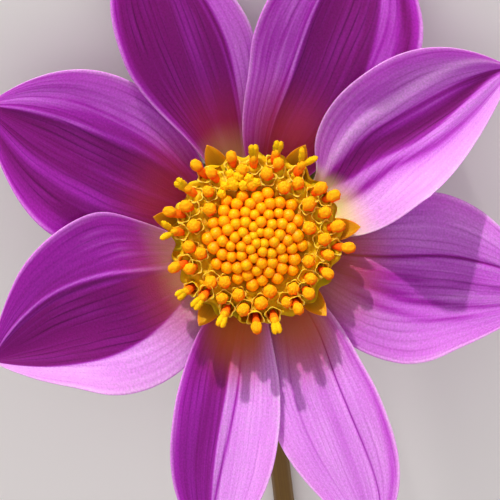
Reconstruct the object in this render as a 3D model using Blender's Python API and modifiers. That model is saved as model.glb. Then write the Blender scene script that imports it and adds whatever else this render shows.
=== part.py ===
"""A single-flowered dahlia, picked with a length of stem and laid down on a flat surface.

The stem lies along the surface and curves up into the back of the flower head. The head leans 30 degrees from
facing straight up and rests on the tips of the two ray petals opposite the stem.

Lengths are written in millimetres and turned to metres by MM. The flower head is modelled in its own frame, the
head frame: its origin is the centre of the ring where the petals attach, +Z is the way the flower faces, and -Y
is the side that the stem leaves on. An empty places that frame in the world.
"""

import math

import bmesh
import bpy
from mathutils import Vector

MM = 0.001
STEP = 0.01

# How the head sits over the surface (world frame: +Z up, the surface at Z = 0)
HEAD_TILT = math.radians(30.0)
HEAD_PLACE = Vector((-1.91, 26.10, 13.86))

# Ray petals: eight flattened florets round the rim
PETAL_FOOT_RADIUS = 9.8
PETAL_THICKNESS = 0.5
PETAL_BEND_END = 0.45
PETAL_ROWS = 12
PETAL_COLUMNS = 10
CLAW_SHARE = 0.22
TIP_SHARE = 0.05
TIP_ROUNDING = 0.92
OVERLAP_START = 0.12
OVERLAP_END = (0.28, 0.6)
TIP_START = 0.6
BOWL_REACH = 37.0
BOWL_RISE = 11.5
BOWL_FLATTENING = 0.65
BOWL_LOW_AZIMUTH = 285.0
BOWL_LOW_SHARE = 0.3
BOWL_LOW_SPREAD = (20.0, 95.0)
RIDGE_HEIGHT = 0.9
RIDGE_SPACING = 0.85
RIDGE_START = (0.12, 0.45)
RIDGE_END = (0.7, 1.0)

# Each side is (greatest half width mm, where along the petal it is, fullness of the tip, slowness of the shoulder).
# overlap is the lift mm of each edge where neighbours overlap, and cup the lift mm of each edge further out.
# The first value of a pair belongs to the anticlockwise side, as seen from the front.
PETALS = {
    "petal_right_upper": dict(
        tip=33.5, foot=21.0, radius=46.7, sides=((11.6, 0.46, 2.8, 1.05), (9.2, 0.38, 1.7, 0.95)),
        overlap=(1.6, 1.7), cup=(4.6, 4.0), tip_lift=0.5,
    ),
    "petal_top_right": dict(
        tip=68.9, foot=74.0, radius=50.3, sides=((11.5, 0.52, 2.3, 0.9), (13.2, 0.60, 2.1, 1.0)),
        overlap=(1.3, -0.5), cup=(2.8, 1.8), tip_lift=-0.4,
    ),
    "petal_top_left": dict(
        tip=110.0, foot=109.0, radius=50.5, sides=((9.7, 0.55, 3.0, 2.0), (10.2, 0.50, 1.8, 1.2)),
        overlap=(1.3, -0.5), cup=(2.6, 1.0), tip_lift=-0.1,
    ),
    "petal_left_upper": dict(
        tip=154.1, foot=154.0, radius=45.8, sides=((13.3, 0.45, 2.0, 0.8), (13.0, 0.45, 2.7, 0.9)),
        overlap=(-0.5, -0.5), cup=(1.6, 1.2), tip_lift=0.6,
    ),
    "petal_left_lower": dict(
        tip=204.9, foot=211.0, radius=44.6, sides=((13.9, 0.38, 1.8, 0.7), (15.0, 0.38, 1.85, 0.7)),
        overlap=(-0.5, 1.3), cup=(4.6, 3.6), tip_lift=1.0,
    ),
    "petal_bottom_left": dict(
        tip=262.4, foot=260.6, radius=48.8, sides=((7.4, 0.52, 2.6, 0.8), (8.9, 0.45, 3.2, 0.7)),
        overlap=(1.3, 1.5), cup=(2.4, 4.2), tip_lift=0.0,
    ),
    "petal_bottom_right": dict(
        tip=291.5, foot=296.0, radius=50.5, sides=((8.7, 0.50, 3.3, 0.8), (8.2, 0.50, 1.7, 0.8)),
        overlap=(1.3, -0.5), cup=(2.8, 1.0), tip_lift=0.0,
    ),
    "petal_right_lower": dict(
        tip=349.4, foot=345.0, radius=46.0, sides=((12.3, 0.48, 1.6, 0.8), (14.3, 0.40, 1.65, 0.6)),
        overlap=(-0.8, -0.5), cup=(0.8, 3.4), tip_lift=0.4,
    ),
}

# Receptacle: the button that carries every floret, (radius, height) down its outer side
RECEPTACLE_RADIUS = 9.4
RECEPTACLE_DOME = 2.2
RECEPTACLE_UNDERSIDE = ((9.4, -0.6), (8.2, -1.8), (5.0, -3.6), (2.6, -5.0), (0.0, -5.2))
RECEPTACLE_STEPS = 24
RECEPTACLE_RINGS = 6

# Disc florets follow one spiral from the middle outwards: the shut buds first, then the open florets
GOLDEN_ANGLE = math.radians(137.508)
BUD_COUNT = 76
OPEN_COUNT = 30
BUD_SPACING = 0.93
BUD_RADIUS = 0.86
BUD_LENGTH = 1.9
BUD_SEGMENTS = 6
BUD_RINGS = 4
CORE_TOP = 8.1
CORE_DROP = 0.016
CORE_DOME_RADII = (0.0, 2.8, 5.6, 8.2)
CORE_SIDE = ((8.55, 6.8), (8.4, 5.9), (6.2, 2.9), (6.0, 2.75), (0.0, 2.75))
OPEN_FOOT_RADII = (7.25, 8.45)
OPEN_HEAD_RADII = (10.15, 13.3)
OPEN_HEAD_HEIGHT = 6.9
OPEN_TUBE_LENGTH = 6.1
OPEN_FOOT_GAP = 0.45
OPEN_STEPS = 7

# Chaff scales: papery scales standing between the outermost disc florets and the petals
CHAFF_AZIMUTHS = (6.0, 62.0, 118.0, 168.5, 237.0, 312.0)
CHAFF_HALF_WIDTH = 1.9
CHAFF_THICKNESS = 0.35
CHAFF_RADII = (9.75, 15.6)
CHAFF_HEIGHTS = (0.7, 7.25)
CHAFF_LEAN = 0.8

# Leaf-shaped pieces: half width at the foot, how fast they widen and how they taper, as shares
BLADE_FOOT = 0.45
BLADE_SWELL = 2.4
BLADE_TAPER = 0.8
BLADE_CHANNEL = 0.4
BLADE_COLUMNS = 4
BLADE_ROWS = 6

# Bracts behind the petals: eight thin inner ones and five green outer ones
INNER_BRACTS = 8
INNER_FIRST = 12.0
INNER_HALF_WIDTH = 3.6
INNER_REACH = (7.6, 24.0)
INNER_DROP = (1.7, 2.3)
INNER_THICKNESS = 0.4
OUTER_BRACTS = 5
OUTER_FIRST = 54.0
OUTER_HALF_WIDTH = 2.6
OUTER_REACH = (3.3, 14.5)
OUTER_HEIGHT = -5.35
OUTER_ARCH = 0.5
OUTER_THICKNESS = 0.6

# Stem: straight along the surface, then one bend up to the head
STEM_SOCKET = -5.55
STEM_RADIUS_TOP = 1.55
STEM_RADIUS_END = 1.85
STEM_FLARE = 0.2
STEM_FLARE_END = 0.4
STEM_BEVEL = 3
STEM_STRAIGHT = 84.0
STEM_HEADING = math.radians(5.0)
STEM_DRIFT = math.radians(7.0)
BEND_POINTS = 12
STRAIGHT_POINTS = 9


def smooth(low, high, value):
    """0 below low, 1 above high, and an S curve between them."""
    share = min(1.0, max(0.0, (value - low) / (high - low)))
    return share * share * (3.0 - 2.0 * share)


def between(first, last, share):
    return first + (last - first) * share


def clear_scene():
    for obj in list(bpy.data.objects):
        bpy.data.objects.remove(obj)


def new_material(name, colour, roughness):
    material = bpy.data.materials.new(name)
    material.use_nodes = True
    shader = material.node_tree.nodes["Principled BSDF"]
    shader.inputs["Base Color"].default_value = (*colour, 1.0)
    shader.inputs["Roughness"].default_value = roughness
    shader.inputs["Metallic"].default_value = 0.0
    return material


def add_object(name, data, material, parent=None):
    obj = bpy.data.objects.new(name, data)
    flower.objects.link(obj)
    obj.parent = parent
    if not data.materials:
        data.materials.append(material)
    return obj


def mesh_from(name, bm):
    mesh = bpy.data.meshes.new(name)
    bm.to_mesh(mesh)
    bm.free()
    mesh.shade_smooth()
    return mesh


def add_sheet(name, surface, rows, columns, thickness, material):
    """A thin curved piece: a grid carried onto surface(along 0 to 1, across -1 to 1), then given its thickness."""
    bm = bmesh.new()
    bmesh.ops.create_grid(bm, x_segments=rows, y_segments=columns, size=1.0)
    for vertex in bm.verts:
        vertex.co = surface(0.5 * (vertex.co.x + 1.0), vertex.co.y) * MM
    sheet = add_object(name, mesh_from(name, bm), material, head)
    wall = sheet.modifiers.new("wall", "SOLIDIFY")
    wall.thickness = thickness * MM
    wall.offset = 0.0
    return sheet


def turned(obj, steps):
    """Turns a profile in the XZ plane round the object's Z axis."""
    screw = obj.modifiers.new("turn", "SCREW")
    screw.angle = 2.0 * math.pi
    screw.steps = screw.render_steps = steps
    screw.use_merge_vertices = True
    screw.merge_threshold = 0.00001


def profile_mesh(name, points):
    bm = bmesh.new()
    corners = [bm.verts.new((radius * MM, 0.0, height * MM)) for radius, height in points]
    for first, second in zip(corners, corners[1:]):
        bm.edges.new((first, second))
    return mesh_from(name, bm)


def bowl_height(radius, angle):
    """Height of the shallow bowl that all the petals follow. It is nearly flat on the side of the stem."""
    share = (radius - PETAL_FOOT_RADIUS) / BOWL_REACH
    away = abs((math.degrees(angle) - BOWL_LOW_AZIMUTH + 180.0) % 360.0 - 180.0)
    kept = between(BOWL_LOW_SHARE, 1.0, smooth(*BOWL_LOW_SPREAD, away)) if share > 0.0 else 1.0
    return kept * BOWL_RISE * share * (1.0 + BOWL_FLATTENING - BOWL_FLATTENING * share)


def ridge_height(along, across):
    """Two soft ridges run along every petal, one each side of a shallow middle groove."""
    strength = smooth(*RIDGE_START, along) * (1.0 - smooth(*RIDGE_END, along))
    return -0.5 * RIDGE_HEIGHT * strength * math.cos(2.0 * math.pi * across / RIDGE_SPACING)


def petal_surface(petal):
    """The petal as a function of the place along it, 0 at its foot, and across it, +1 at its anticlockwise edge."""

    def centre(along):
        turn = smooth(0.0, PETAL_BEND_END, along)
        angle = math.radians(petal["foot"] + (petal["tip"] - petal["foot"]) * turn)
        radius = PETAL_FOOT_RADIUS + (petal["radius"] - PETAL_FOOT_RADIUS) * along
        return Vector((radius * math.cos(angle), radius * math.sin(angle)))

    def width_share(side, along):
        _, widest, fullness, shoulder = side
        if along < widest:
            grown = math.sin(0.5 * math.pi * along / widest) ** shoulder
            return CLAW_SHARE + (1.0 - CLAW_SHARE) * grown
        past = (along - widest) / (1.0 - widest)
        return max(TIP_SHARE, (1.0 - past**fullness) ** TIP_ROUNDING)

    def surface(along, across):
        which = 0 if across > 0.0 else 1
        side = petal["sides"][which]
        ahead = centre(min(1.0, along + STEP)) - centre(max(0.0, along - STEP))
        ahead.normalize()
        share = width_share(side, along)
        flat = centre(along) + Vector((-ahead.y, ahead.x)) * across * side[0] * share
        further_out = smooth(*OVERLAP_END, along)
        overlap = petal["overlap"][which] * smooth(0.0, OVERLAP_START, along) * (1.0 - further_out)
        cup = petal["cup"][which] * further_out * share
        tip = petal["tip_lift"] * smooth(TIP_START, 1.0, along)
        height = bowl_height(flat.length, math.atan2(flat.y, flat.x)) + (overlap + cup) * across * across + tip
        return Vector((flat.x, flat.y, height + ridge_height(along, across)))

    return surface


def add_petals():
    for name, petal in PETALS.items():
        add_sheet(name, petal_surface(petal), PETAL_ROWS, PETAL_COLUMNS, PETAL_THICKNESS, petal_tissue)


def receptacle_dome(radius):
    """Height of the receptacle's rounded top at a distance from its axis."""
    return RECEPTACLE_DOME * math.sqrt(max(0.0, 1.0 - (radius / RECEPTACLE_RADIUS) ** 2))


def add_receptacle():
    top = []
    for step in range(RECEPTACLE_RINGS + 1):
        radius = RECEPTACLE_RADIUS * math.sin(0.5 * math.pi * step / RECEPTACLE_RINGS)
        top.append((radius, receptacle_dome(radius)))
    mesh = profile_mesh("receptacle", (*top, *RECEPTACLE_UNDERSIDE))
    turned(add_object("receptacle", mesh, green_tissue, head), RECEPTACLE_STEPS)


def core_height(radius):
    return CORE_TOP - CORE_DROP * radius * radius


def add_bud_cluster():
    """The shut disc florets, packed so tightly that they are one domed body with a rounded tip for each bud."""
    top = [(radius, core_height(radius)) for radius in CORE_DOME_RADII]
    mesh = profile_mesh("disc_buds", (*top, *CORE_SIDE))
    cluster = add_object("disc_buds", mesh, bud_tissue, head)
    turned(cluster, RECEPTACLE_STEPS)

    bm = bmesh.new()
    for index in range(1, BUD_COUNT + 1):
        radius = BUD_SPACING * math.sqrt(index - 0.5)
        angle = GOLDEN_ANGLE * index
        made = bmesh.ops.create_uvsphere(
            bm, u_segments=BUD_SEGMENTS, v_segments=BUD_RINGS, radius=BUD_RADIUS * MM
        )
        place = Vector((radius * math.cos(angle), radius * math.sin(angle), core_height(radius))) * MM
        for vertex in made["verts"]:
            vertex.co.z *= BUD_LENGTH / (2.0 * BUD_RADIUS)
            vertex.co += place
    tips = add_object("bud_tips", mesh_from("bud_tips", bm), bud_tissue, head)
    flower.objects.unlink(tips)
    helpers.objects.link(tips)
    tips.hide_render = True
    tips.display_type = "WIRE"
    join = cluster.modifiers.new("bud tips", "BOOLEAN")
    join.operation = "UNION"
    join.object = tips
    join.use_self = True


def add_open_florets():
    """The opened disc florets: a slender tube that widens to a cup, with the pollen-covered column standing in it."""
    tube = OPEN_TUBE_LENGTH
    column = ((0.0, tube + 2.0), (0.6, tube + 1.7), (0.86, tube + 1.0), (0.5, tube + 0.1), (0.42, tube - 1.1))
    cup = ((0.95, tube - 0.8), (0.98, tube), (1.08, tube - 0.1), (0.95, tube - 1.7))
    foot = ((0.5, 1.8), (0.42, 0.0), (0.0, 0.0))
    mesh = profile_mesh("open_floret", (*column, *cup, *foot))
    for number in range(OPEN_COUNT):
        share = number / (OPEN_COUNT - 1)
        angle = GOLDEN_ANGLE * (BUD_COUNT + 1 + number)
        inner = between(*OPEN_FOOT_RADII, share)
        outer = between(*OPEN_HEAD_RADII, share)
        outward = Vector((math.cos(angle), math.sin(angle), 0.0))
        foot_place = outward * inner + Vector((0.0, 0.0, receptacle_dome(inner) + OPEN_FOOT_GAP))
        lean = outward * outer + Vector((0.0, 0.0, OPEN_HEAD_HEIGHT)) - foot_place
        floret = add_object(f"open_floret_{number + 1:02d}", mesh, floret_tissue, head)
        floret.location = foot_place * MM
        floret.rotation_mode = "QUATERNION"
        floret.rotation_quaternion = lean.to_track_quat("Z", "Y")
        turned(floret, OPEN_STEPS)


def add_blades(name, azimuths, route, half_width, thickness, material):
    """Leaf-shaped sheets round the head. route(along, angle) gives the radius and height at each azimuth."""

    def blade(angle):
        outward = Vector((math.cos(angle), math.sin(angle), 0.0))
        sideways = Vector((-math.sin(angle), math.cos(angle), 0.0))

        def surface(along, across):
            radius, _ = route(along, angle)
            share = max(TIP_SHARE, (BLADE_FOOT + BLADE_SWELL * along) * (1.0 - along) ** BLADE_TAPER)
            aside = across * half_width * share
            _, height = route(along, angle + math.atan2(aside, radius))
            rise = BLADE_CHANNEL * across * across * share
            return outward * radius + sideways * aside + Vector((0.0, 0.0, height + rise))

        return surface

    for number, azimuth in enumerate(azimuths, 1):
        surface = blade(math.radians(azimuth))
        add_sheet(f"{name}_{number}", surface, BLADE_ROWS, BLADE_COLUMNS, thickness, material)


def chaff_route(along, _):
    return between(*CHAFF_RADII, along**CHAFF_LEAN), between(*CHAFF_HEIGHTS, along)


def inner_bract_route(along, angle):
    radius = between(*INNER_REACH, along)
    return radius, bowl_height(radius, angle) - between(*INNER_DROP, smooth(0.0, TIP_START, along))


def outer_bract_route(along, _):
    return between(*OUTER_REACH, along), OUTER_HEIGHT + OUTER_ARCH * math.sin(math.pi * along)


def add_stem():
    """A bevelled curve: its points follow one bend of constant radius, then run along the surface."""
    start = HEAD_PLACE + Vector((0.0, math.sin(HEAD_TILT), math.cos(HEAD_TILT))) * STEM_SOCKET
    steepest = 0.5 * math.pi - HEAD_TILT
    bend_radius = (start.z - STEM_RADIUS_TOP) / (1.0 - math.cos(steepest))
    points = [(start, STEM_RADIUS_TOP * (1.0 + STEM_FLARE))]
    for step in range(1, BEND_POINTS + 1):
        done = step / BEND_POINTS
        slope = steepest * (1.0 - (step - 0.5) / BEND_POINTS)
        heading = STEM_HEADING * done
        run = bend_radius * steepest / BEND_POINTS
        level = Vector((math.sin(heading), -math.cos(heading), 0.0))
        course = level * math.cos(slope) - Vector((0.0, 0.0, math.sin(slope)))
        flare = STEM_FLARE * (1.0 - smooth(0.0, STEM_FLARE_END, done))
        points.append((points[-1][0] + course * run, STEM_RADIUS_TOP * (1.0 + flare)))
    for step in range(1, STRAIGHT_POINTS + 1):
        done = step / STRAIGHT_POINTS
        heading = between(STEM_HEADING, STEM_DRIFT, done)
        radius = between(STEM_RADIUS_TOP, STEM_RADIUS_END, done)
        level = Vector((math.sin(heading), -math.cos(heading), 0.0))
        place = points[-1][0] + level * STEM_STRAIGHT / STRAIGHT_POINTS
        points.append((Vector((place.x, place.y, radius)), radius))

    curve = bpy.data.curves.new("stem", "CURVE")
    curve.dimensions = "3D"
    curve.bevel_depth = MM
    curve.bevel_resolution = STEM_BEVEL
    curve.use_fill_caps = True
    spline = curve.splines.new("POLY")
    spline.points.add(len(points) - 1)
    for target, (place, radius) in zip(spline.points, points):
        target.co = (*(place * MM), 1.0)
        target.radius = radius
    add_object("stem", curve, stem_tissue)


def even_azimuths(count, first):
    return [first + 360.0 * number / count for number in range(count)]


clear_scene()
flower = bpy.data.collections.new("dahlia_flower")
helpers = bpy.data.collections.new("helpers")
bpy.context.scene.collection.children.link(flower)
bpy.context.scene.collection.children.link(helpers)

petal_tissue = new_material("petal", (0.50, 0.08, 0.52), 0.45)
bud_tissue = new_material("disc bud", (0.95, 0.45, 0.02), 0.5)
floret_tissue = new_material("open disc floret", (0.90, 0.50, 0.04), 0.5)
chaff_tissue = new_material("chaff scale", (0.62, 0.55, 0.20), 0.4)
green_tissue = new_material("receptacle and outer bract", (0.16, 0.27, 0.07), 0.55)
bract_tissue = new_material("inner bract", (0.36, 0.38, 0.14), 0.45)
stem_tissue = new_material("stem", (0.24, 0.16, 0.07), 0.5)

head = bpy.data.objects.new("flower_head", None)
flower.objects.link(head)
head.location = HEAD_PLACE * MM
head.rotation_euler = (-HEAD_TILT, 0.0, 0.0)

add_receptacle()
add_bud_cluster()
add_open_florets()
add_blades("chaff_scale", CHAFF_AZIMUTHS, chaff_route, CHAFF_HALF_WIDTH, CHAFF_THICKNESS, chaff_tissue)
add_petals()
inner_azimuths = even_azimuths(INNER_BRACTS, INNER_FIRST)
outer_azimuths = even_azimuths(OUTER_BRACTS, OUTER_FIRST)
add_blades("inner_bract", inner_azimuths, inner_bract_route, INNER_HALF_WIDTH, INNER_THICKNESS, bract_tissue)
add_blades("outer_bract", outer_azimuths, outer_bract_route, OUTER_HALF_WIDTH, OUTER_THICKNESS, green_tissue)
add_stem()
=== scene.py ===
import math

import bpy
import numpy as np
from mathutils import Matrix, Vector


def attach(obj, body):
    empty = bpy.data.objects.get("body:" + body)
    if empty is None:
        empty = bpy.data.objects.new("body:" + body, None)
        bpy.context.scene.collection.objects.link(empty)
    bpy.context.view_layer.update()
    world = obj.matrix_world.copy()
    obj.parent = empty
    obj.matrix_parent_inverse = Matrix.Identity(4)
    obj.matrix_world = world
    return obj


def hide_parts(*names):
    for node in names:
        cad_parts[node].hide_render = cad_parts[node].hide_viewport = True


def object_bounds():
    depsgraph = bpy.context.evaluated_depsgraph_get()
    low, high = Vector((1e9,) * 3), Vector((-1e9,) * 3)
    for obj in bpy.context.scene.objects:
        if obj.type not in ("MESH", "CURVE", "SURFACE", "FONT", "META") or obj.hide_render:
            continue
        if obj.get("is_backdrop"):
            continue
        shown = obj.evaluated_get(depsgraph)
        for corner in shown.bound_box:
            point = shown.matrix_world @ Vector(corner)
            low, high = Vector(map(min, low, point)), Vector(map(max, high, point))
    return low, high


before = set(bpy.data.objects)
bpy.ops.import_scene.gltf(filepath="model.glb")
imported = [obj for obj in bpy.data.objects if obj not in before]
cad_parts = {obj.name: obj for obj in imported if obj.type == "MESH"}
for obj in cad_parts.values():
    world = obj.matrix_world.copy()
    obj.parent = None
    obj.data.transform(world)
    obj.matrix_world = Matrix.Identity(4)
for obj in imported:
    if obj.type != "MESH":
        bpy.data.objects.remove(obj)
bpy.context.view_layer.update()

# A single dahlia, picked and laid down. Shapes are worked out in millimetres in the head frame
# (origin at the ring where the petals attach, +Z the way the flower faces, -Y the stem's side),
# then carried into the world by toWorld.

scene = bpy.context.scene
scene.view_settings.view_transform = "Standard"
random = np.random.default_rng(7)

head = {"tilt": 30.0, "place": (-1.91, 26.10, 13.86)}
goldenAngle = math.radians(137.508)


# 0 below low, 1 above high, x*x*(3-2x) between
def smooth(low, high, value):
    x = np.clip((value - low) / (high - low), 0.0, 1.0)
    return x * x * (3.0 - 2.0 * x)


# straight line from a at x=0 to b at x=1
def mix(a, b, x):
    return a + (b - a) * x


# exp(-(x/width)^2)
def bell(x, width):
    return np.exp(-((x / width) ** 2))


# the parabola through three places (s, t), read at s
def lineAt(places, s):
    (a, p), (b, q), (c, r) = places
    return (
        p * (s - b) * (s - c) / ((a - b) * (a - c))
        + q * (s - a) * (s - c) / ((b - a) * (b - c))
        + r * (s - a) * (s - b) / ((c - a) * (c - b))
    )


# turns the head frame by -tilt about X, then moves it to its place: millimetres in, metres out
def toWorld(points):
    tilt = math.radians(head["tilt"])
    x, y, z = points[..., 0], points[..., 1], points[..., 2]
    cos, sin = math.cos(tilt), math.sin(tilt)
    turned = np.stack([x, y * cos + z * sin, z * cos - y * sin], -1)
    return (turned + np.array(head["place"])) * 0.001


# length 1 along the last axis
def unit(v):
    return v / np.maximum(np.linalg.norm(v, axis=-1, keepdims=True), 1e-9)


# the points (radius cos angle, radius sin angle, height)
def polar(radius, angle, height):
    return np.stack(np.broadcast_arrays(radius * np.cos(angle), radius * np.sin(angle), height), -1)


# count angles evenly round a full turn
def fullTurn(count):
    return np.linspace(0, 2 * math.pi, count, endpoint=False)


# closed bodies from stacks of rings: points (rings, around, 3), joined ring to ring and shut at both
# ends by a fan to the ring's middle. Returns vertices, faces, and each vertex's (around, along) in 0..1
def ringBody(rings):
    count, around = rings.shape[:2]
    vertices = np.concatenate([rings.reshape(-1, 3), rings[0].mean(0)[None], rings[-1].mean(0)[None]])
    i, j = np.meshgrid(np.arange(count - 1), np.arange(around), indexing="ij")
    k = (j + 1) % around
    quads = np.stack([i * around + j, i * around + k, (i + 1) * around + k, (i + 1) * around + j], -1)
    j = np.arange(around)
    k = (j + 1) % around
    first, last = count * around, count * around + 1
    low = np.stack([np.full(around, first), k, j], -1)
    high = np.stack([np.full(around, last), (count - 1) * around + j, (count - 1) * around + k], -1)
    uv = np.stack(np.meshgrid(np.arange(around) / around, np.linspace(0, 1, count)), -1).reshape(-1, 2)
    uv = np.concatenate([uv, [[0.5, 0.0], [0.5, 1.0]]])
    return vertices, [quads.reshape(-1, 4), np.concatenate([low, high])], uv


# a thin closed sheet: its middle surface (along, across, 3), pushed half its thickness each way along
# the normal dS/ds x dS/dt. A ring runs over the front from t=+1 to -1 and back behind
def sheetBody(surface, thickness):
    normal = unit(np.cross(np.gradient(surface, axis=0), np.gradient(surface, axis=1)))
    front = surface + normal * thickness[..., None] / 2
    back = surface - normal * thickness[..., None] / 2
    return ringBody(np.concatenate([front[:, ::-1], back], axis=1))


# the value of each vertex of a sheetBody from a value for each place of its surface
def sheetValues(values):
    rings = np.concatenate([values[:, ::-1], values], axis=1)
    return np.concatenate([rings.reshape(-1), [rings[0].mean(), rings[-1].mean()]])


# joins bodies (vertices, faces, uv, material number, values) into one object at the origin, riding on the
# root body. The first three values of a vertex are its tint, and a fourth, where there is one, its warmth
def makePiece(name, bodies, materials, standsFor=(), world=True):
    vertices, faces, slots, uvs, values = [], [], [], [], []
    start = 0
    for points, parts, uv, number, value in bodies:
        vertices.append(points)
        for part in parts:
            faces.extend((part + start).tolist())
            slots.extend([number] * len(part))
        uvs.append(uv)
        values.append(value)
        start += len(points)
    vertices = np.concatenate(vertices)
    if world:
        vertices = toWorld(vertices)
    mesh = bpy.data.meshes.new(name)
    mesh.from_pydata(vertices.tolist(), [], faces)
    mesh.polygons.foreach_set("material_index", np.array(slots, dtype=np.int32))
    mesh.polygons.foreach_set("use_smooth", np.ones(len(faces), dtype=bool))
    for material in materials:
        mesh.materials.append(material)
    corners = np.empty(len(mesh.loops), dtype=np.int32)
    mesh.loops.foreach_get("vertex_index", corners)
    layer = mesh.uv_layers.new(name="surface")
    layer.data.foreach_set("uv", np.concatenate(uvs)[corners].astype(np.float32).ravel())
    tint = mesh.attributes.new("tint", "FLOAT_COLOR", "POINT")
    values = np.concatenate(values)
    four = np.ones((len(vertices), 4), dtype=np.float32)
    four[:, :3] = values[:, :3]
    tint.data.foreach_set("color", four.ravel())
    if values.shape[1] > 3:
        warmth = mesh.attributes.new("warmth", "FLOAT", "POINT")
        warmth.data.foreach_set("value", values[:, 3].astype(np.float32))
    mesh.update()
    piece = bpy.data.objects.new(name, mesh)
    scene.collection.objects.link(piece)
    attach(piece, "root")
    if standsFor:
        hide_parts(*standsFor)


# the values of count vertices, each channel given as one number or as an array
def tints(count, *channels):
    return np.stack([np.broadcast_to(np.asarray(c, dtype=float), (count,)) for c in channels], -1)


# sRGB hex to linear red, green, blue, alpha
def linear(hexColour):
    parts = [int(hexColour[i : i + 2], 16) / 255 for i in (1, 3, 5)]
    return tuple(c / 12.92 if c <= 0.04045 else ((c + 0.055) / 1.055) ** 2.4 for c in parts) + (1.0,)


# adds a node, with its settings, and its inputs by name or number (i0, i1): values, sockets to link, or
# nodes whose first output is linked
def addNode(tree, kind, settings=None, **inputs):
    node = tree.nodes.new(kind)
    for key, value in (settings or {}).items():
        setattr(node, key, value)
    for key, value in inputs.items():
        numbered = key[0] == "i" and key[1:].isdigit()
        socket = node.inputs[int(key[1:]) if numbered else key.replace("_", " ")]
        if isinstance(value, bpy.types.Node):
            value = value.outputs[0]
        if isinstance(value, bpy.types.NodeSocket):
            tree.links.new(value, socket)
        else:
            socket.default_value = value
    return node


# a material with an empty node tree
def newMaterial(name):
    material = bpy.data.materials.new(name)
    material.use_nodes = True
    material.node_tree.nodes.clear()
    return material, material.node_tree


# the three channels of the tint
def tintChannels(tree):
    tint = addNode(tree, "ShaderNodeAttribute", {"attribute_name": "tint"})
    return addNode(tree, "ShaderNodeSeparateColor", Color=tint.outputs["Color"]).outputs


# colour a where factor is 0, colour b where it is 1
def mixColour(tree, factor, a, b, blend="MIX"):
    node = addNode(tree, "ShaderNodeMix", {"data_type": "RGBA", "blend_type": blend}, i0=factor, i6=a, i7=b)
    return node.outputs[2]


# a and b put together by a maths operation, held in 0..1 where clamp is set
def sums(tree, operation, a, b, clamp=False):
    settings = {"operation": operation, "use_clamp": clamp}
    return addNode(tree, "ShaderNodeMath", settings, i0=a, i1=b).outputs[0]


# ends a material in a Principled shader with these inputs
def finishMaterial(material, **inputs):
    shader = addNode(material.node_tree, "ShaderNodeBsdfPrincipled", {}, **inputs)
    addNode(material.node_tree, "ShaderNodeOutputMaterial", Surface=shader.outputs[0])
    return material


petalLook = {
    "deep": "#780A6C",
    "bright": "#AC2AB8",
    "pale": "#E2A8EC",
    "vein": "#B860B4",
    "cream": "#F6E690",
    "blush": "#9A1E38",
    "amber": "#C26A14",
    "roughness": 0.46,
    "streaks": (34.0, 1.6, 1.0),
    "clouds": (5.0, 2.6, 1.0),
    "speckles": (70.0, 115.0, 1.0),
    "veinScale": 6.4,
    "veinSharpness": 7.0,
    "drift": 0.36,
    "streak": 0.42,
}


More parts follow.
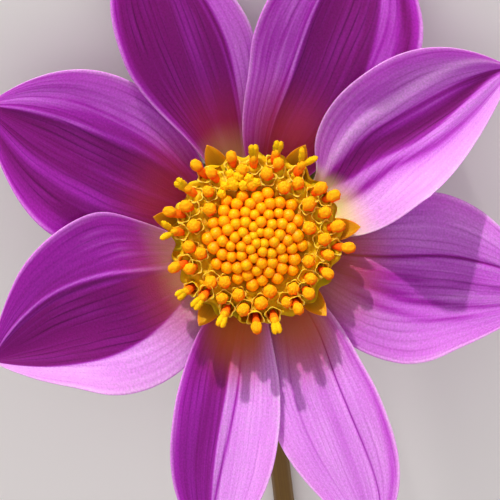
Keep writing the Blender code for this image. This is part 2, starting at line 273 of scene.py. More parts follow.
# Petal tissue: thin living cells, the front ones dome-shaped. It glows where light comes through, is
# velvety rather than shiny, and shows darker parallel veins about 1 mm apart. Its paleness, read from the
# tint's first channel, holds painted shade and painted light along with the pigment's own tone
def petalMaterial():
    look = petalLook
    material, tree = newMaterial("dahliaPetalTissue")
    tone, blush, cream = tintChannels(tree)
    amber = addNode(tree, "ShaderNodeAttribute", {"attribute_name": "warmth"}).outputs["Fac"]
    place = addNode(tree, "ShaderNodeTexCoord")
    uv = place.outputs["UV"]
    streaks = addNode(tree, "ShaderNodeMapping", {}, Vector=uv, Scale=look["streaks"])
    fine = addNode(tree, "ShaderNodeTexNoise", {}, Vector=streaks, Scale=1.0, Detail=2.5, Roughness=0.55)
    wander = addNode(tree, "ShaderNodeMapping", {}, Vector=uv, Scale=look["clouds"])
    cloud = addNode(tree, "ShaderNodeTexNoise", {}, Vector=wander, Scale=1.0, Detail=2.0)
    wave = addNode(
        tree, "ShaderNodeTexWave", {"wave_type": "BANDS", "bands_direction": "X", "wave_profile": "SIN"},
        Vector=uv, Scale=look["veinScale"], Distortion=3.2, Detail=1.0, Detail_Scale=0.5,
    )
    veins = sums(tree, "POWER", wave.outputs["Fac"], look["veinSharpness"])
    patchy = sums(tree, "MULTIPLY", sums(tree, "SUBTRACT", cloud, 0.4), 5.0, clamp=True)
    veins = sums(tree, "MULTIPLY", veins, sums(tree, "MULTIPLY", patchy, 0.75))
    # tone wanders a little, as pigment does
    drift = sums(tree, "MULTIPLY", sums(tree, "SUBTRACT", cloud, 0.5), look["drift"])
    streak = sums(tree, "MULTIPLY", sums(tree, "SUBTRACT", fine, 0.5), look["streak"])
    paleness = sums(tree, "ADD", sums(tree, "ADD", tone, drift), streak, clamp=True)
    low = sums(tree, "MULTIPLY", paleness, 2.2, clamp=True)
    high = sums(tree, "MULTIPLY", sums(tree, "SUBTRACT", paleness, 0.32), 1.5, clamp=True)
    colour = mixColour(tree, low, linear(look["deep"]), linear(look["bright"]))
    colour = mixColour(tree, high, colour, linear(look["pale"]))
    shown = sums(tree, "MULTIPLY", veins, sums(tree, "SUBTRACT", 1.15, paleness), clamp=True)
    colour = mixColour(tree, shown, colour, linear(look["vein"]), "MULTIPLY")
    speckle = addNode(tree, "ShaderNodeMapping", {}, Vector=uv, Scale=look["speckles"])
    speckles = addNode(tree, "ShaderNodeTexNoise", {}, Vector=speckle, Scale=1.0, Detail=2.0)
    grey = sums(tree, "ADD", sums(tree, "MULTIPLY", speckles, 0.7), 0.65)
    shade = addNode(tree, "ShaderNodeCombineColor", {}, i0=grey, i1=grey, i2=grey).outputs[0]
    colour = mixColour(tree, 1.0, colour, shade, "MULTIPLY")
    colour = mixColour(tree, blush, colour, linear(look["blush"]))
    colour = mixColour(tree, cream, colour, linear(look["cream"]))
    colour = mixColour(tree, amber, colour, linear(look["amber"]))
    grain = addNode(tree, "ShaderNodeTexNoise", {}, Vector=place.outputs["Object"], Scale=5200.0, Detail=1.0)
    ribs = sums(tree, "ADD", sums(tree, "MULTIPLY", fine, 0.7), sums(tree, "MULTIPLY", veins, -0.1))
    relief = sums(tree, "ADD", ribs, sums(tree, "MULTIPLY", grain, 0.3))
    bump = addNode(tree, "ShaderNodeBump", {}, Strength=0.5, Distance=0.00016, Height=relief)
    return finishMaterial(
        material,
        Base_Color=colour, Roughness=look["roughness"], IOR=1.42, Normal=bump.outputs[0],
        Specular_IOR_Level=0.2, Subsurface_Weight=0.8, Subsurface_Radius=(0.9, 0.25, 0.9),
        Subsurface_Scale=0.0009, Sheen_Weight=0.08, Sheen_Roughness=0.4, Sheen_Tint=(1.0, 0.7, 1.0, 1.0),
    )


# Waxy bud skin: plump cells full of carotene. Yellow on top, orange down the sides and burnt red in the
# clefts, partly the buds' own redder foot and partly painted shade in the clefts, with light going a little
# way in and almost no gloss
def budMaterial():
    material, tree = newMaterial("waxyBudSkin")
    ripeness, cleftRedAndShade, chance = tintChannels(tree)
    place = addNode(tree, "ShaderNodeTexCoord").outputs["Object"]
    mottle = addNode(tree, "ShaderNodeTexNoise", {}, Vector=place, Scale=900.0, Detail=2.0)
    top = mixColour(tree, ripeness, linear("#FFBC00"), linear("#FFA800"))
    top = mixColour(tree, sums(tree, "MULTIPLY", chance, 0.5), top, linear("#FF9A00"))
    top = mixColour(tree, sums(tree, "MULTIPLY", mottle, 0.4), top, linear("#FFC400"))
    down = sums(tree, "MULTIPLY", cleftRedAndShade, 2.0, clamp=True)
    colour = mixColour(tree, down, top, linear("#FF8400"))
    deep = sums(tree, "SUBTRACT", sums(tree, "MULTIPLY", cleftRedAndShade, 2.0), 1.0, clamp=True)
    colour = mixColour(tree, deep, colour, linear("#B02C00"))
    bump = addNode(tree, "ShaderNodeBump", {}, Strength=0.3, Distance=0.00008, Height=mottle)
    return finishMaterial(
        material,
        Base_Color=colour, Roughness=0.42, IOR=1.45, Specular_IOR_Level=0.16, Normal=bump.outputs[0],
        Subsurface_Weight=0.5, Subsurface_Radius=(1.0, 0.4, 0.05), Subsurface_Scale=0.0007,
    )


# Corolla of an open disc floret: a thin greenish-yellow tube, pale at its five lobes, brown inside: partly
# the dark anther tube, partly painted shade down the hollow
def corollaMaterial():
    material, tree = newMaterial("corollaTissue")
    rim, insideBrownAndShade, chance = tintChannels(tree)
    place = addNode(tree, "ShaderNodeTexCoord").outputs["Object"]
    mottle = addNode(tree, "ShaderNodeTexNoise", {}, Vector=place, Scale=800.0, Detail=3.0)
    colour = mixColour(tree, chance, linear("#F4B400"), linear("#EABE18"))
    patches = sums(tree, "MULTIPLY", sums(tree, "SUBTRACT", mottle, 0.45), 4.0, clamp=True)
    colour = mixColour(tree, sums(tree, "MULTIPLY", patches, 0.5), colour, linear("#DC8200"))
    colour = mixColour(tree, rim, colour, linear("#FAD648"))
    colour = mixColour(tree, insideBrownAndShade, colour, linear("#9A4400"))
    return finishMaterial(
        material,
        Base_Color=colour, Roughness=0.5, IOR=1.42, Specular_IOR_Level=0.12,
        Subsurface_Weight=0.5, Subsurface_Radius=(1.0, 0.6, 0.05), Subsurface_Scale=0.0009,
    )


# Pollen-covered tissue: powdery grains about 0.1 mm across (drawn that coarse so that they show),
# matt, orange on the anthers and yellow on the styles. The first tint channel lays on the darker colour: on
# the anther columns their own redder foot, on the pollen balls, styles and heap painted shade on the side
# away from the key lamp
def pollenMaterial(name, light, dark):
    material, tree = newMaterial(name)
    shade = tintChannels(tree)[0]
    place = addNode(tree, "ShaderNodeTexCoord").outputs["Object"]
    grains = addNode(tree, "ShaderNodeTexVoronoi", {}, Vector=place, Scale=6500.0).outputs["Distance"]
    colour = mixColour(tree, shade, linear(light), linear(dark))
    colour = mixColour(tree, sums(tree, "MULTIPLY", grains, 0.25), colour, linear(dark))
    bump = addNode(tree, "ShaderNodeBump", {"invert": True}, Strength=0.6, Distance=0.00008, Height=grains)
    return finishMaterial(
        material,
        Base_Color=colour, Roughness=0.75, Specular_IOR_Level=0.15, Normal=bump.outputs[0],
        Subsurface_Weight=0.4, Subsurface_Radius=(1.0, 0.4, 0.05), Subsurface_Scale=0.0007,
    )


# Leafy tissue: one colour towards the foot, another towards the tip, a third along the thin margins,
# with lengthwise veins
def leafyMaterial(name, foot, tip, vein, margin, roughness, glow):
    material, tree = newMaterial(name)
    towardsTip, atMargin, _ = tintChannels(tree)
    place = addNode(tree, "ShaderNodeTexCoord")
    streaks = addNode(tree, "ShaderNodeMapping", {}, Vector=place.outputs["UV"], Scale=(26.0, 1.5, 1.0))
    fine = addNode(tree, "ShaderNodeTexNoise", {}, Vector=streaks, Scale=1.0, Detail=3.0)
    mottle = addNode(tree, "ShaderNodeTexNoise", {}, Vector=place.outputs["Object"], Scale=700.0, Detail=3.0)
    colour = mixColour(tree, towardsTip, linear(foot), linear(tip))
    lines = sums(tree, "MULTIPLY", sums(tree, "SUBTRACT", fine, 0.42), 3.2, clamp=True)
    colour = mixColour(tree, sums(tree, "MULTIPLY", lines, 0.6), colour, linear(vein))
    colour = mixColour(tree, sums(tree, "MULTIPLY", mottle, 0.25), colour, linear(vein))
    colour = mixColour(tree, atMargin, colour, linear(margin))
    bump = addNode(tree, "ShaderNodeBump", {}, Strength=0.4, Distance=0.00012, Height=fine)
    return finishMaterial(
        material,
        Base_Color=colour, Roughness=roughness, IOR=1.42, Normal=bump.outputs[0],
        Subsurface_Weight=glow, Subsurface_Radius=(0.8, 0.8, 0.2), Subsurface_Scale=0.0006,
    )


petalTissue = petalMaterial()
budSkin = budMaterial()
corollaTissue = corollaMaterial()
antherPollen = pollenMaterial("orangePollenOnAnthers", "#FFB000", "#FF3C00")
stylePollen = pollenMaterial("yellowPollenOnStyles", "#FFC000", "#F08A00")
chaffTissue = leafyMaterial("translucentChaff", "#9C9A30", "#E8A818", "#B0801C", "#F87808", 0.42, 0.95)
greenTissue = leafyMaterial("fleshyGreenBract", "#5C8A34", "#7FA347", "#3C6A22", "#9CB864", 0.5, 0.15)
bractTissue = leafyMaterial("membranousBract", "#8A9A4A", "#A9A468", "#6C7A34", "#C8A86A", 0.42, 0.3)
stemSkin = leafyMaterial("ribbedStemSkin", "#7A4C14", "#80601C", "#5A3410", "#7A4C14", 0.45, 0.08)
print("materials made")


petalSize = {
    "footRadius": 9.8, "bendEnd": 0.45, "claw": 0.33, "tip": 0.03, "tipRounding": 0.92,
    "bowlReach": 37.0, "bowlRise": 11.5, "bowlFlattening": 0.65,
    "lowAzimuth": 285.0, "lowShare": 0.3, "lowSpread": (20.0, 95.0),
    "thickness": 0.36, "edgeThickness": 0.14, "along": 150, "across": 91,
}

# foot, tip: azimuths in degrees. bendEnd: where the turn from one to the other ends. sides: (greatest half
# width mm, where, fullness of the tip, slowness of the shoulder), the first for the anticlockwise side, as in
# overlap and cup, the mm that the edges rise near the foot and farther out. cupFrom: where the clockwise
# cup starts. cupFade: the share of it lost towards the tip. relief: (places (s, t), width in t, height mm).
# flaps: (places, side, rise mm). paintedLightBands: (places, width, change in paleness), painted shade along
# the grooves and under raised edges and painted highlight along the ridges. paintedLightFields: (places,
# side, softness, change in paleness), painted light on flaps and halves turned to the key lamp and painted
# shadow where a neighbour's shadow falls.
# tone: paleness, partly the petal's own pigment, partly painted shade on the petals turned from the key lamp
# and painted light on those turned to it. blush, cream, amber: strength of each at the foot
petals = {
    "petal_right_upper": {
        "tip": 33.5, "foot": 21.0, "radius": 46.7,
        "sides": ((11.6, 0.46, 2.8, 1.05), (9.2, 0.38, 1.7, 0.95)),
        "overlap": (1.6, 1.7), "cup": (4.6, 8.6), "cupFrom": (0.06, 0.28), "cupFade": 0.6, "tipLift": 0.5,
        "tone": 0.5, "blush": 0.0, "cream": 1.0, "amber": 0.0,
        "relief": [
            (((0.1, 0.6), (0.5, 0.06), (0.95, 0.2)), 0.16, -0.45),
            (((0.2, 0.66), (0.5, 0.47), (0.9, 0.58)), 0.1, 0.2),
            (((0.2, 0.05), (0.5, -0.22), (0.9, -0.05)), 0.14, 0.35),
            (((0.4, -0.35), (0.65, -0.45), (0.95, -0.5)), 0.1, -0.12),
        ],
        # paler along the ridge, darker along the groove and the lines beside it: painted highlight and
        # painted shade
        "paintedLightBands": [
            (((0.2, 0.66), (0.5, 0.5), (0.85, 0.66)), 0.08, 0.45),
            (((0.15, 0.45), (0.5, 0.29), (0.9, 0.3)), 0.035, -0.3),
            (((0.1, 0.6), (0.5, 0.04), (0.9, 0.16)), 0.16, -0.55),
            (((0.3, -0.2), (0.6, -0.42), (0.95, -0.45)), 0.1, -0.3),
            (((0.3, -0.1), (0.6, -0.36), (0.95, -0.3)), 0.26, -0.2),
        ],
        # the clockwise lobe paler: painted light where it turns to the key lamp
        "paintedLightFields": [(((0.12, 0.42), (0.45, -0.13), (0.9, 0.14)), -1, 0.05, 0.34)],
    },
    "petal_top_right": {
        "tip": 68.9, "foot": 74.0, "radius": 50.3,
        "sides": ((11.5, 0.52, 2.3, 0.9), (13.2, 0.60, 2.1, 1.0)),
        "overlap": (1.3, -0.5), "cup": (2.8, 1.8), "tipLift": -0.4,
        # deep tone: partly its own pigment, partly painted shade, as it turns from the key lamp
        "tone": 0.02, "blush": 0.8, "cream": 0.0, "amber": 0.1,
        "relief": [
            (((0.2, 0.36), (0.5, 0.38), (0.8, 0.42)), 0.05, 0.18),
            (((0.2, 0.1), (0.5, 0.02), (0.8, 0.1)), 0.3, -0.4),
            (((0.3, -0.5), (0.6, -0.46), (0.9, -0.4)), 0.06, -0.15),
        ],
        "flaps": [(((0.3, -0.5), (0.6, -0.46), (0.9, -0.4)), -1, 0.5)],
        # a narrow paler line on the ridge: painted highlight
        "paintedLightBands": [
            (((0.2, 0.36), (0.5, 0.38), (0.8, 0.42)), 0.02, 0.4),
            (((0.3, -0.9), (0.6, -0.84), (0.9, -0.7)), 0.1, -0.4),
        ],
        # paler beyond the ridge and on the lifted clockwise flap: painted light where they turn to the key
        # lamp
        "paintedLightFields": [
            (((0.2, 0.4), (0.5, 0.4), (0.8, 0.45)), 1, 0.12, 0.4),
            (((0.3, -0.62), (0.6, -0.46), (0.9, -0.38)), -1, 0.04, 0.4),
        ],
    },
    "petal_top_left": {
        "tip": 110.0, "foot": 109.0, "radius": 50.5,
        "sides": ((9.7, 0.55, 3.0, 2.0), (10.2, 0.50, 1.8, 1.2)),
        "overlap": (1.3, -0.5), "cup": (2.6, 1.0), "tipLift": -0.1,
        # deep tone: partly its own pigment, partly painted shade, as it turns from the key lamp; the cream at
        # the foot partly its own colour, partly painted light
        "tone": 0.0, "blush": 0.8, "cream": 0.3, "amber": 0.0,
        "relief": [
            (((0.2, -0.5), (0.5, -0.52), (0.8, -0.5)), 0.05, -0.15),
            (((0.2, 0.2), (0.5, 0.2), (0.8, 0.2)), 0.3, -0.4),
            (((0.2, -0.2), (0.5, -0.22), (0.8, -0.2)), 0.12, 0.15),
        ],
        "flaps": [(((0.2, -0.5), (0.5, -0.52), (0.8, -0.5)), -1, 0.5)],
        # paler lines at the flap's crease and along a ridge: painted highlight
        "paintedLightBands": [
            (((0.2, -0.51), (0.5, -0.5), (0.8, -0.48)), 0.03, 0.25),
            (((0.2, -0.05), (0.5, -0.1), (0.8, -0.1)), 0.12, 0.12),
        ],
        # paler on the lifted clockwise flap and along the anticlockwise edge: painted light
        "paintedLightFields": [
            (((0.2, -0.54), (0.5, -0.58), (0.8, -0.54)), -1, 0.05, 0.5),
            (((0.2, 0.86), (0.5, 0.9), (0.8, 0.86)), 1, 0.08, 0.35),
        ],
    },
    "petal_left_upper": {
        "tip": 154.1, "foot": 154.0, "radius": 45.8,
        "sides": ((13.3, 0.45, 2.0, 0.8), (13.0, 0.45, 2.7, 0.9)),
        "overlap": (-0.5, -0.5), "cup": (1.6, 1.2), "tipLift": 0.6,
        # deep tone: partly its own pigment, partly painted shade, as it turns from the key lamp
        "tone": 0.02, "blush": 0.75, "cream": 0.0, "amber": 0.08,
        "relief": [
            (((0.2, -0.38), (0.5, -0.32), (0.9, -0.26)), 0.07, 0.25),
            (((0.2, 0.05), (0.5, 0.0), (0.9, -0.05)), 0.2, -0.3),
            (((0.2, 0.4), (0.5, 0.45), (0.9, 0.5)), 0.12, 0.2),
            (((0.2, -0.6), (0.5, -0.62), (0.9, -0.6)), 0.12, -0.2),
        ],
        # paler along the ridges: painted highlight
        "paintedLightBands": [
            (((0.2, -0.38), (0.5, -0.32), (0.9, -0.28)), 0.035, 0.36),
            (((0.2, 0.5), (0.5, 0.42), (0.9, 0.5)), 0.1, 0.25),
            (((0.2, 0.1), (0.5, 0.12), (0.9, 0.1)), 0.06, 0.1),
        ],
        # paler on both lifted flanks: painted light
        "paintedLightFields": [
            (((0.2, -0.5), (0.5, -0.42), (0.9, -0.34)), -1, 0.14, 0.42),
            (((0.2, 0.7), (0.5, 0.8), (0.9, 0.8)), 1, 0.15, 0.3),
        ],
    },
    "petal_left_lower": {
        "tip": 204.9, "foot": 211.0, "radius": 44.6, "bendEnd": 0.75,
        "sides": ((13.1, 0.38, 1.8, 0.7), (15.2, 0.38, 1.85, 0.7)),
        "overlap": (-0.5, 1.3), "cup": (4.6, 3.6), "tipLift": 1.0,
        # deep tone: partly its own pigment, partly painted shade on the part turned from the key lamp
        "tone": 0.0, "blush": 0.5, "cream": 0.3, "amber": 0.25,
        "relief": [
            (((0.2, 0.1), (0.5, 0.12), (0.9, 0.1)), 0.3, -0.3),
            (((0.3, -0.32), (0.55, -0.4), (0.9, -0.5)), 0.05, 0.25),
            (((0.3, -0.26), (0.55, -0.33), (0.9, -0.42)), 0.05, -0.12),
        ],
        "flaps": [(((0.15, 0.25), (0.5, 0.5), (0.9, 0.6)), 1, 1.2)],
        # narrow paler stripes along the ridge: painted highlight
        "paintedLightBands": [
            (((0.3, -0.34), (0.55, -0.42), (0.9, -0.5)), 0.025, 0.45),
            (((0.3, -0.27), (0.55, -0.33), (0.9, -0.44)), 0.03, 0.2),
        ],
        # the lower flap much paler with a sharp edge, and the clockwise edge paler: painted light where they
        # turn to the key lamp
        "paintedLightFields": [
            (((0.15, 0.27), (0.5, 0.53), (0.9, 0.62)), 1, 0.03, 0.86),
            (((0.3, -0.36), (0.55, -0.45), (0.9, -0.55)), -1, 0.08, 0.3),
        ],
    },
    "petal_bottom_left": {
        "tip": 262.4, "foot": 260.6, "radius": 48.8,
        "sides": ((7.4, 0.52, 2.6, 0.8), (8.9, 0.45, 3.2, 0.7)),
        "overlap": (1.3, 1.5), "cup": (2.4, 4.2), "tipLift": 0.0,
        "tone": 0.15, "blush": 0.9, "cream": 0.0, "amber": 0.8,
        "relief": [
            (((0.2, 0.06), (0.5, -0.01), (0.8, -0.16)), 0.06, -0.12),
            (((0.2, -0.08), (0.5, -0.16), (0.8, -0.22)), 0.05, 0.22),
            (((0.2, -0.4), (0.5, -0.5), (0.8, -0.5)), 0.25, -0.3),
        ],
        # darker along the groove: painted shade
        "paintedLightBands": [
            (((0.2, 0.08), (0.5, 0.0), (0.8, -0.14)), 0.045, -0.5),
            (((0.2, -0.6), (0.5, -0.66), (0.8, -0.66)), 0.12, 0.12),
        ],
        # the anticlockwise half much paler, the clockwise edge a little: painted light on the parts turned to
        # the key lamp, the rest left deep as painted shade
        "paintedLightFields": [
            (((0.2, -0.12), (0.5, -0.18), (0.8, -0.22)), 1, 0.025, 0.64),
            (((0.2, -0.85), (0.5, -0.85), (0.8, -0.85)), -1, 0.08, 0.2),
        ],
    },
    "petal_bottom_right": {
        "tip": 291.5, "foot": 296.0, "radius": 50.5,
        "sides": ((8.7, 0.50, 3.3, 0.8), (8.2, 0.50, 1.7, 0.8)),
        "overlap": (1.3, -0.5), "cup": (2.8, 1.0), "tipLift": 0.0,
        # pale tone: partly its own pigment, partly painted light, as it turns to the key lamp
        "tone": 0.74, "blush": 0.75, "cream": 0.0, "amber": 0.75,
        "relief": [
            (((0.2, 0.44), (0.5, 0.42), (0.85, 0.5)), 0.04, -0.22),
            (((0.2, -0.42), (0.5, -0.46), (0.85, -0.4)), 0.04, -0.1),
            (((0.2, 0.0), (0.5, 0.0), (0.85, 0.05)), 0.2, 0.2),
        ],
        # darker along the two grooves: painted shade; the darker strip by the anticlockwise edge: painted
        # shadow of that edge
        "paintedLightBands": [
            (((0.2, 0.44), (0.5, 0.42), (0.85, 0.5)), 0.025, -0.5),
            (((0.2, -0.42), (0.5, -0.46), (0.85, -0.4)), 0.02, -0.2),
            (((0.2, 0.1), (0.5, 0.1), (0.85, 0.1)), 0.12, -0.1),
            (((0.2, 0.85), (0.5, 0.92), (0.85, 0.8)), 0.08, -0.25),
        ],
    },
    "petal_right_lower": {
        "tip": 349.4, "foot": 345.0, "radius": 46.0, "bendEnd": 0.7,
        "sides": ((12.3, 0.48, 1.6, 0.8), (14.3, 0.40, 1.65, 0.6)),
        "overlap": (-0.8, -0.5), "cup": (-1.0, 3.4), "tipLift": 0.4,
        "tone": 0.6, "blush": 0.3, "cream": 0.1, "amber": 0.55,
        "relief": [
            (((0.15, 0.15), (0.5, 0.22), (0.85, 0.34)), 0.04, -0.25),
            (((0.3, -0.25), (0.6, -0.42), (0.85, -0.5)), 0.1, -0.22),
            (((0.2, -0.05), (0.5, -0.1), (0.85, -0.05)), 0.15, 0.2),
        ],
        # darker along the groove and the lines beside it: painted shade
        "paintedLightBands": [
            (((0.15, 0.15), (0.5, 0.22), (0.85, 0.34)), 0.025, -0.5),
            (((0.3, -0.05), (0.6, -0.1), (0.85, -0.1)), 0.14, -0.2),
            (((0.3, -0.25), (0.6, -0.38), (0.85, -0.46)), 0.06, -0.25),
            (((0.3, -0.42), (0.6, -0.56), (0.85, -0.6)), 0.05, -0.15),
        ],
        # the first field darkens the part under the shadow of the petal above: painted shadow; the second
        # makes the edge under it paler: painted light
        "paintedLightFields": [
            (((0.15, -0.3), (0.5, -0.35), (0.85, 0.3)), 1, 0.1, -0.06),
            (((0.15, 0.4), (0.5, 0.5), (0.85, 0.65)), 1, 0.15, 0.12),
        ],
    },
}


# the shallow bowl all petals follow: rise * x * (1 + f - f x), x the share of the reach, and lowShare of
# that on the stem's side
def bowlHeight(radius, azimuth):
    x = (radius - petalSize["footRadius"]) / petalSize["bowlReach"]
    f = petalSize["bowlFlattening"]
    away = np.abs((np.degrees(azimuth) - petalSize["lowAzimuth"] + 180.0) % 360.0 - 180.0)
    kept = mix(petalSize["lowShare"], 1.0, smooth(*petalSize["lowSpread"], away))
    return np.where(x > 0, kept, 1.0) * petalSize["bowlRise"] * x * (1.0 + f - f * x)


# share of a side's greatest half width: a quarter sine up to the widest place, then 1 - x^fullness
def widthShare(side, s):
    _, widest, fullness, shoulder = side
    grown = np.sin(0.5 * math.pi * np.clip(s / widest, 0, 1)) ** shoulder
    past = np.clip((s - widest) / (1.0 - widest), 0, 1)
    tapered = np.maximum(petalSize["tip"], (1.0 - past**fullness) ** petalSize["tipRounding"])
    claw = petalSize["claw"]
    return np.where(s < widest, claw + (1.0 - claw) * grown, tapered)


# a petal's middle surface at s (0 foot, 1 tip) and t (+1 anticlockwise edge): a straight centre line,
# its own width each side, and the bowl's height plus overlap and cup * t^2, folds and edge ripple
def petalSurface(petal, s, t):
    def centre(along):
        x = np.clip(along / petal.get("bendEnd", petalSize["bendEnd"]), 0.0, 1.0)
        turn = x**3 * (6.0 * x * x - 15.0 * x + 10.0)
        angle = np.radians(mix(petal["foot"], petal["tip"], turn))
        radius = mix(petalSize["footRadius"], petal["radius"], along)
        return np.stack([radius * np.cos(angle), radius * np.sin(angle)], -1)

    ahead = unit(centre(np.minimum(1, s + 0.01)) - centre(np.maximum(0, s - 0.01)))
    left, right = petal["sides"]
    share = np.where(t > 0, widthShare(left, s), widthShare(right, s))
    widest = np.where(t > 0, left[0], right[0])
    ripple = 1.0 + 0.012 * np.sin(9.0 * s + 3.0 * t) * smooth(0.5, 1.0, np.abs(t))
    reach = t * widest * share * ripple
    flat = centre(s) + np.stack([-ahead[..., 1], ahead[..., 0]], -1) * reach[..., None]
    furtherOut = smooth(0.28, 0.6, s)
    overlap = np.where(t > 0, *petal["overlap"]) * smooth(0.0, 0.12, s) * (1 - furtherOut)
    cupped = smooth(*petal.get("cupFrom", (0.28, 0.6)), s)
    cupped = cupped * (1.0 - petal.get("cupFade", 0.0) * smooth(0.42, 0.9, s))
    cup = np.where(t > 0, petal["cup"][0] * furtherOut, petal["cup"][1] * cupped) * share
    height = bowlHeight(np.linalg.norm(flat, axis=-1), np.arctan2(flat[..., 1], flat[..., 0]))
    height = height + (overlap + cup) * t * t
    height = height + petal["tipLift"] * smooth(0.6, 1.0, s)
    along = smooth(0.08, 0.35, s) * (1.0 - smooth(0.82, 1.0, s))
    for places, width, rise in petal["relief"]:
        height = height + rise * along * bell(t - lineAt(places, s), width)
    for places, side, rise in petal.get("flaps", ()):
        beyond = np.maximum(0.0, side * (t - lineAt(places, s)))
        height = height + rise * along * smooth(0.0, 0.7, beyond)
    height = height + 0.12 * np.sin(11.0 * s + 2.0 * petal["tip"]) * smooth(0.6, 1.0, np.abs(t)) * along
    veins = 0.002 * np.cos(2 * math.pi * reach / 0.95 + 2.0 * np.sin(5.0 * s + petal["tip"])) * along
    return np.stack([flat[..., 0], flat[..., 1], height + veins], -1)


# paleness: tone, its bands and its fields, and paler edges; the bands and fields are mostly painted shade,
# painted shadow, painted highlight and painted light, the paler edges the petal's own. Blush, cream and amber
# fade out from the foot
def petalTints(petal, s, t):
    tone = np.full(s.shape, petal["tone"])
    for places, width, change in petal["paintedLightBands"]:
        tone = tone + change * bell(t - lineAt(places, s), width)
    for places, side, softness, change in petal.get("paintedLightFields", ()):
        tone = tone + change * smooth(-softness, softness, side * (t - lineAt(places, s)))
    tone = tone + 0.35 * smooth(0.93, 1.0, np.abs(t))
    blush = petal["blush"] * (1.0 - smooth(0.14, 0.44, s + 0.06 * t * t))
    blush = blush * (1.0 - 0.7 * smooth(0.35, 1.0, np.abs(t)))
    cream = petal["cream"] * (1.0 - smooth(0.07, 0.24, s + 0.05 * np.abs(t)))
    amber = petal["amber"] * (1.0 - smooth(0.1, 0.38, s + 0.16 * t * t))
    return [np.clip(v, 0, 1) for v in (tone, blush, cream, amber)]


for name, petal in petals.items():
    s, t = np.meshgrid(
        np.linspace(0, 1, petalSize["along"]), np.linspace(-1, 1, petalSize["across"]), indexing="ij"
    )
    surface = petalSurface(petal, s, t)
    thickness = mix(petalSize["thickness"], petalSize["edgeThickness"], smooth(0.5, 1.0, np.abs(t)))
    thickness = thickness * mix(1.0, 0.5, smooth(0.85, 1.0, s))
    vertices, faces, _ = sheetBody(surface, thickness)
    uv = np.stack([sheetValues((t + 1) / 2), sheetValues(s)], -1)
    values = np.stack([sheetValues(v) for v in petalTints(petal, s, t)], -1)
    makePiece(name + "_look", [(vertices, faces, uv, 0, values)], [petalTissue], [name])
print("petals made")


disc = {
    "buds": 73, "spread": 0.67, "power": 0.56, "top": 8.7, "drop": 0.028, "edge": 7.4,
    "pitch": 1.36, "widening": 0.06, "plump": 0.595, "tall": 0.92, "rings": 13, "around": 20,
    "coreRadius": 7.9, "coreDepth": 0.95, "coreFoot": ((0.3, 3.0), (5.8, 3.0), (6.4, 3.2), (7.9, 5.2)),
}


# height of the dome of buds: top - drop r^2
def domeHeight(radius):
    return disc["top"] - disc["drop"] * radius**2


# rings of a plump bud standing on +Z, a from the foot to the top: radius ~ sin(a)^0.74, height ~ cos(a),
# with five soft sides that meet in a slight point
def budRings(radius, length, count, around, phase):
    a = np.linspace(math.pi * 0.8, 0.05, count)[:, None]
    turn = fullTurn(around)
    sides = np.cos(5 * turn + phase)
    wide = radius * np.sin(a) ** 0.74 * (1.0 + 0.05 * sides)
    high = length * (np.cos(a) + 0.2 * bell(a, 0.36)) - 0.07 * length * sides * np.sin(2 * a)
    return polar(wide, turn, high)


# axes (side, side, up) turned so that up leans outwards by the given angle at azimuth
def leaningAxes(azimuth, lean):
    up = polar(math.sin(lean), azimuth, math.cos(lean))
    across = polar(1.0, azimuth + math.pi / 2, 0.0)
    return np.cross(across, up), across, up


# points moved to an origin and turned to three axes: origin + x axis + y axis + z axis
def placeRings(rings, origin, axes):
    return origin + rings[..., 0:1] * axes[0] + rings[..., 1:2] * axes[1] + rings[..., 2:3] * axes[2]


budBodies = []
for index in range(1, disc["buds"] + 1):
    radius = disc["spread"] * (index - 0.4) ** disc["power"]
    azimuth = goldenAngle * index
    ripeness = smooth(0.2, 1.0, radius / disc["edge"])
    pitch = disc["pitch"] * index ** disc["widening"]
    size = disc["plump"] * pitch * (1.0 + 0.035 * random.standard_normal())
    rings = budRings(size, disc["tall"] * size, disc["rings"], disc["around"], 5 * azimuth + random.random())
    origin = polar(radius, azimuth, domeHeight(radius) - 0.1)
    origin[:2] += 0.05 * random.standard_normal(2)
    origin[2] += 0.1 * random.standard_normal()
    lean = 0.055 * radius + 0.06 * random.standard_normal()
    vertices, faces, uv = ringBody(placeRings(rings, origin, leaningAxes(azimuth, lean)))
    # darker towards each bud's foot: partly its own redder foot, partly painted shade in the clefts
    cleftRedAndShade = 1.0 - smooth(0.32, 0.96, uv[:, 1])
    budBodies.append((vertices, faces, uv, 0, tints(len(uv), ripeness, cleftRedAndShade, random.random())))
# the core that fills the gaps under the buds, in the darkest cleft colour: painted shade in the gaps
profile = list(disc["coreFoot"])
for radius in disc["coreRadius"] * np.sin(0.5 * math.pi * np.linspace(1.0, 0.02, 12)):
    profile.append((radius, domeHeight(radius) - disc["coreDepth"]))
vertices, faces, uv = ringBody(np.stack([polar(r, fullTurn(64), h) for r, h in profile]))
budBodies.append((vertices, faces, uv, 0, tints(len(uv), 1.0, 1.0, 0.0)))
makePiece("disc_buds_look", budBodies, [budSkin], ["disc_buds"])
print("shut florets made")


openFlorets = {
    "nodes": 30, "extra": 22, "firstRadius": 8.1, "lastRadius": 12.5, "height": (7.3, 7.2),
    "stemSideRise": 1.0, "length": (5.0, 6.4), "lean": (0.1, 0.46), "mouth": 1.06, "tube": 0.5, "lobe": 0.34,
    "around": 30, "firstStyled": 32, "forked": (61.0, 170.0, 204.0),
    "styles": (61.0, 77.0, 94.0, 118.0, 149.0, 170.0, 183.0, 204.0, 218.0, 231.0, 243.0, 282.0),
}


